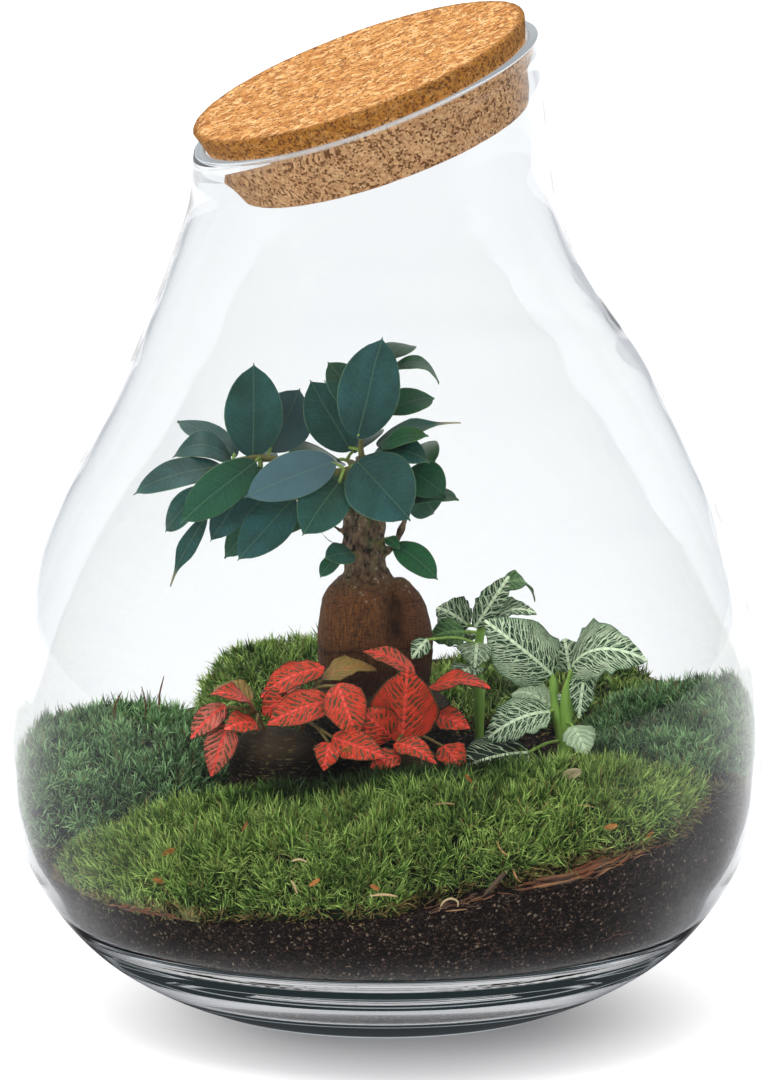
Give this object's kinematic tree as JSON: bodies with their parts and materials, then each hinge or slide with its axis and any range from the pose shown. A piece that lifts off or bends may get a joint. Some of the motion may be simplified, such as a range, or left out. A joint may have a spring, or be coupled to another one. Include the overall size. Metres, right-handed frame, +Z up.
{
  "type": "glass plant terrarium",
  "caption": "Drop-shaped glass jar with a slanted cork stopper, planted with a small ficus bonsai, red and white fittonias and cushions of moss on dark soil.",
  "frame": {"origin": "middle of the jar's flat foot", "axes": "+Z up along the jar's axis; the slanted mouth and the cork slope down towards -X, and +Y is to the back"},
  "size_m": [0.3, 0.3, 0.391],
  "materials": {
    "glass": "clear blown glass",
    "cork": "fine-grained pressed cork",
    "soil": "moist crumbly potting soil",
    "peat": "dark matted peat",
    "moss": "cushion of upright moss stems",
    "bark": "rough dry bark",
    "ficus_bark": "wrinkled swollen root and rough neck",
    "ficus_leaf": "glossy dark green leaf with paler stalks",
    "red_leaf": "coral red leaf with dark green mesh",
    "white_leaf": "green leaf with dense white veins"
  },
  "bodies": {
    "root": {"jar": "glass", "cork_lid": "cork", "soil": "soil", "ficus_root_ball": "peat", "red_fittonia_root_ball_left": "peat", "red_fittonia_root_ball_right": "peat", "moss_front": "moss", "moss_left": "moss", "moss_right": "moss", "moss_back_left": "moss", "moss_back_right": "moss", "bark_strip": "bark", "ficus_trunk": "ficus_bark", "ficus_shoot_left": "ficus_leaf", "ficus_shoot_low_left": "ficus_leaf", "ficus_shoot_top": "ficus_leaf", "ficus_shoot_right": "ficus_leaf", "ficus_shoot_front": "ficus_leaf", "ficus_shoot_back": "ficus_leaf", "ficus_shoot_sprout_left": "ficus_leaf", "ficus_shoot_sprout_right": "ficus_leaf", "red_fittonia_left": "red_leaf", "red_fittonia_middle": "red_leaf", "red_fittonia_right": "red_leaf", "white_fittonia_right": "white_leaf", "white_fittonia_back": "white_leaf"}
  },
  "joints": []
}
